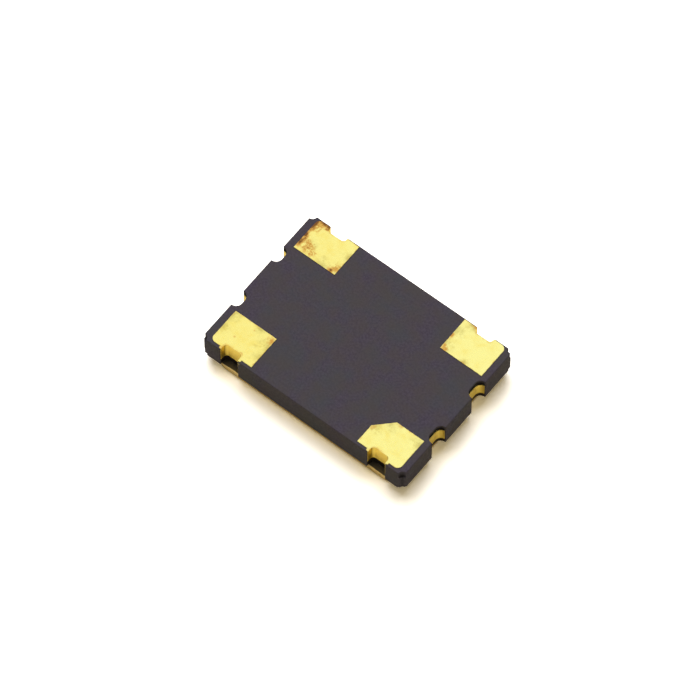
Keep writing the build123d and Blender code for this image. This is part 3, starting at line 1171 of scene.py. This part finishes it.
def floor_white():
    """White floor that keeps the part's soft, warm shadow."""
    material = bpy.data.materials.new("floor white")
    material.use_nodes = True
    tree = material.node_tree
    tree.nodes.clear()
    rays = add(tree, "ShaderNodeLightPath").outputs
    gloss = most(rays["Is Glossy Ray"], rays["Is Transmission Ray"])
    shaders = [
        add(tree, "ShaderNodeBsdfDiffuse", {"Color": (*tone, 1.0)}).outputs[0]
        for tone in (FLOOR_BOUNCE, FLOOR_SEEN, FLOOR_GLOSS)
    ]
    lit = mixed(rays["Is Camera Ray"], shaders[0], shaders[1])
    end = tree.nodes.new("ShaderNodeOutputMaterial")
    tree.links.new(mixed(gloss, lit, shaders[2]), end.inputs["Surface"])
    return material


# Operators


class OSC_OT_ceramic_body(bpy.types.Operator):
    """Model the fired ceramic body with its castellations and cavity"""

    bl_idname = "oscillator.ceramic_body"
    bl_label = "Ceramic Body"

    def execute(self, context):
        bm = castellated_body(sizes(context.scene.osc_ceramic))
        finish_piece("castellated_body", bm, "ceramic_base", "black_alumina", black_alumina())
        return {"FINISHED"}


class OSC_OT_solder_pads(bpy.types.Operator):
    """Print the solder pads and line their castellations"""

    bl_idname = "oscillator.solder_pads"
    bl_label = "Solder Pads"

    def execute(self, context):
        notch, film = sizes(context.scene.osc_ceramic), sizes(context.scene.osc_gold)
        gold = pad_gold()
        for number in PAD_NUMBERS:
            bm = printed_pad(number, notch, film)
            finish_piece(f"printed_pad_{number}", bm, f"solder_pad_{number}", "pad_gold", gold)
            bm = lined_contact(number, notch, film)
            finish_piece(f"lined_contact_{number}", bm, f"side_contact_{number}", "pad_gold", gold)
        return {"FINISHED"}


class OSC_OT_seal_ring(bpy.types.Operator):
    """Model the seal ring and finish its braze"""

    bl_idname = "oscillator.seal_ring"
    bl_label = "Seal Ring"

    def execute(self, context):
        bm = sealing_ring(sizes(context.scene.osc_lid))
        gold = satin_plating("ring gold", context.scene.osc_gold.frame, 10.0, 0.26)
        finish_piece("sealing_frame", bm, "seal_ring", "ring_gold", gold)
        dress("ring_braze", braze_silver())
        return {"FINISHED"}


class OSC_OT_lid(bpy.types.Operator):
    """Model the lid with its seam weld"""

    bl_idname = "oscillator.lid"
    bl_label = "Lid"

    def execute(self, context):
        bm = welded_lid(sizes(context.scene.osc_lid))
        finish_piece("welded_lid", bm, "lid", "lid_nickel", nickel())
        return {"FINISHED"}


class OSC_OT_chip(bpy.types.Operator):
    """Model the chip, its seat, its bond wires and their fingers"""

    bl_idname = "oscillator.chip"
    bl_label = "Chip and Wires"

    def execute(self, context):
        inside, film = sizes(context.scene.osc_inside), sizes(context.scene.osc_gold)
        gold = satin_plating("inner gold", context.scene.osc_gold.pale, 14.0, 0.24)
        bond_metal = satin_plating("bond pad metal", context.scene.osc_inside.bond_metal, 24.0, 0.3)
        paddle = film_plate("die_paddle", film)
        finish_piece("gold_paddle", paddle, "die_paddle", "inner_gold", gold)
        adhesive = silver_adhesive()
        bed = adhesive_blob("die_attach")
        finish_piece("attach_bed", bed, "die_attach", "silver_adhesive", adhesive)
        die = chip_die(inside)
        finish_piece("chip_die", die, "oscillator_chip", "silicon", silicon(), bond_metal)
        for number in WIRE_NUMBERS:
            finger = f"bond_finger_{number}"
            bm = film_plate(finger, film)
            finish_piece(f"gold_finger_{number}", bm, finger, "inner_gold", gold)
            bm = wire_loop(number, inside)
            finish_piece(f"wire_loop_{number}", bm, f"bond_wire_{number}", "inner_gold", gold)
        return {"FINISHED"}


class OSC_OT_crystal(bpy.types.Operator):
    """Model the quartz blank, its electrodes and its mounting"""

    bl_idname = "oscillator.crystal"
    bl_label = "Quartz Crystal"

    def execute(self, context):
        film = sizes(context.scene.osc_gold)
        gold = bpy.data.materials["inner gold"]
        adhesive = bpy.data.materials["silver adhesive"]
        finish_piece("lapped_blank", lapped_blank(), "quartz_blank", "quartz", quartz())
        for number in CRYSTAL_SIDES:
            pad, dot = f"crystal_pad_{number}", f"adhesive_dot_{number}"
            finish_piece(f"shelf_pad_{number}", film_plate(pad, film), pad, "inner_gold", gold)
            finish_piece(f"glue_dot_{number}", adhesive_blob(dot), dot, "silver_adhesive", adhesive)
        silver = satin_plating("electrode silver", context.scene.osc_inside.film, 20.0, 0.2)
        dress("chip_side_electrode", silver)
        dress("lid_side_electrode", silver)
        return {"FINISHED"}


class OSC_OT_stage(bpy.types.Operator):
    """Set the floor, the light and the camera"""

    bl_idname = "oscillator.stage"
    bl_label = "Stage"

    def execute(self, context):
        settings = context.scene.osc_stage
        place_floor(settings)
        light_room(settings)
        place_softbox(settings)
        place_camera(settings)
        context.scene.view_settings.view_transform = "Standard"
        return {"FINISHED"}


FLOOR_GAP = 0.002
VIEW_MIDDLE = Vector((-0.042, -0.27, 1.14))
SENSOR_WIDTH = 36.0
NEAR_LIMIT = 10.0
HORIZON_GLOSS = 0.92
ROOM_TINT = (1.22, 1.0, 0.58)
WHITE = (1.0, 1.0, 1.0)


def direction(azimuth, elevation):
    """Unit vector from the part towards a place round it. Azimuth 0 lies along -Y."""
    return Vector(
        (
            math.sin(azimuth) * math.cos(elevation),
            -math.cos(azimuth) * math.cos(elevation),
            math.sin(elevation),
        )
    )


def place_floor(settings):
    """Floor that the lid rests on."""
    bm = bmesh.new()
    bmesh.ops.create_grid(bm, x_segments=1, y_segments=1, size=settings.floor_size)
    bmesh.ops.translate(bm, vec=(0, 0, -FLOOR_GAP * MM), verts=bm.verts)
    floor = new_object("floor", new_mesh("floor", bm))
    floor.data.materials.append(floor_white())


def light_room(settings):
    """Even light from all round. What is seen of it is white, and a little darker low down."""
    world = bpy.data.worlds.new("white room")
    world.use_nodes = True
    bpy.context.scene.world = world
    tree = world.node_tree
    tree.nodes.clear()
    rays = add(tree, "ShaderNodeLightPath").outputs
    way = add(tree, "ShaderNodeTexCoord").outputs["Generated"]
    gloss = ramp(axes(way)[2], 0.0, 0.8, HORIZON_GLOSS, 1.0)
    clear = most(rays["Is Camera Ray"], rays["Is Transmission Ray"])
    lights = ((ROOM_TINT, settings.room_light), (WHITE, gloss), (WHITE, 1.0))
    lit, mirrored, seen = (
        add(tree, "ShaderNodeBackground", {"Color": (*tone, 1.0), "Strength": strength}).outputs[0]
        for tone, strength in lights
    )
    lit = mixed(rays["Is Glossy Ray"], lit, mirrored)
    end = tree.nodes.new("ShaderNodeOutputWorld")
    tree.links.new(mixed(clear, lit, seen), end.inputs["Surface"])


def turn_to(item, towards, place):
    """Put a lamp or camera at a place, looking back from this direction."""
    item.location = place
    item.rotation_mode = "QUATERNION"
    item.rotation_quaternion = towards.to_track_quat("Z", "Y")


def place_softbox(settings):
    """Large soft lamp behind the part, seen from the camera."""
    lamp = bpy.data.lights.new("softbox", "AREA")
    lamp.shape = "SQUARE"
    lamp.size = settings.softbox_size
    lamp.energy = settings.softbox_power
    softbox = new_object("softbox", lamp)
    softbox.visible_glossy = False
    towards = direction(settings.softbox_azimuth, settings.softbox_elevation)
    turn_to(softbox, towards, towards * settings.softbox_distance)


def place_camera(settings):
    """Camera at the view's angle."""
    camera_data = bpy.data.cameras.new("camera")
    camera_data.sensor_width = SENSOR_WIDTH
    camera_data.lens = settings.lens
    camera_data.clip_start = NEAR_LIMIT * MM
    camera = new_object("camera", camera_data)
    back = direction(settings.azimuth, settings.elevation)
    turn_to(camera, back, VIEW_MIDDLE * MM + back * settings.distance)
    bpy.context.scene.camera = camera


OPERATORS = (
    OSC_OT_ceramic_body,
    OSC_OT_solder_pads,
    OSC_OT_seal_ring,
    OSC_OT_lid,
    OSC_OT_chip,
    OSC_OT_crystal,
    OSC_OT_stage,
)


class OSC_PT_panel(bpy.types.Panel):
    """Steps that finish the oscillator"""

    bl_idname = "OSC_PT_panel"
    bl_label = "Crystal Oscillator"
    bl_space_type = "VIEW_3D"
    bl_region_type = "UI"
    bl_category = "Oscillator"

    def draw(self, context):
        for operator in OPERATORS:
            self.layout.operator(operator.bl_idname)
        for name in SETTINGS:
            group = getattr(context.scene, name)
            box = self.layout.box()
            box.label(text=group.bl_rna.description)
            for prop in group.bl_rna.properties:
                if prop.identifier not in ("rna_type", "name"):
                    label = prop.identifier.replace("_", " ").capitalize()
                    box.prop(group, prop.identifier, text=label)


SETTINGS = {
    "osc_ceramic": OSC_CeramicSettings,
    "osc_gold": OSC_GoldSettings,
    "osc_lid": OSC_LidSettings,
    "osc_inside": OSC_InsideSettings,
    "osc_stage": OSC_StageSettings,
}


def register():
    for name, group in SETTINGS.items():
        bpy.utils.register_class(group)
        setattr(bpy.types.Scene, name, PointerProperty(type=group))
    for operator in OPERATORS:
        bpy.utils.register_class(operator)
    bpy.utils.register_class(OSC_PT_panel)


def unregister():
    bpy.utils.unregister_class(OSC_PT_panel)
    for operator in reversed(OPERATORS):
        bpy.utils.unregister_class(operator)
    for name, group in SETTINGS.items():
        delattr(bpy.types.Scene, name)
        bpy.utils.unregister_class(group)


def main():
    register()
    bpy.ops.oscillator.ceramic_body()
    bpy.ops.oscillator.solder_pads()
    bpy.ops.oscillator.seal_ring()
    bpy.ops.oscillator.lid()
    bpy.ops.oscillator.chip()
    bpy.ops.oscillator.crystal()
    bpy.ops.oscillator.stage()


if __name__ == "__main__":
    main()
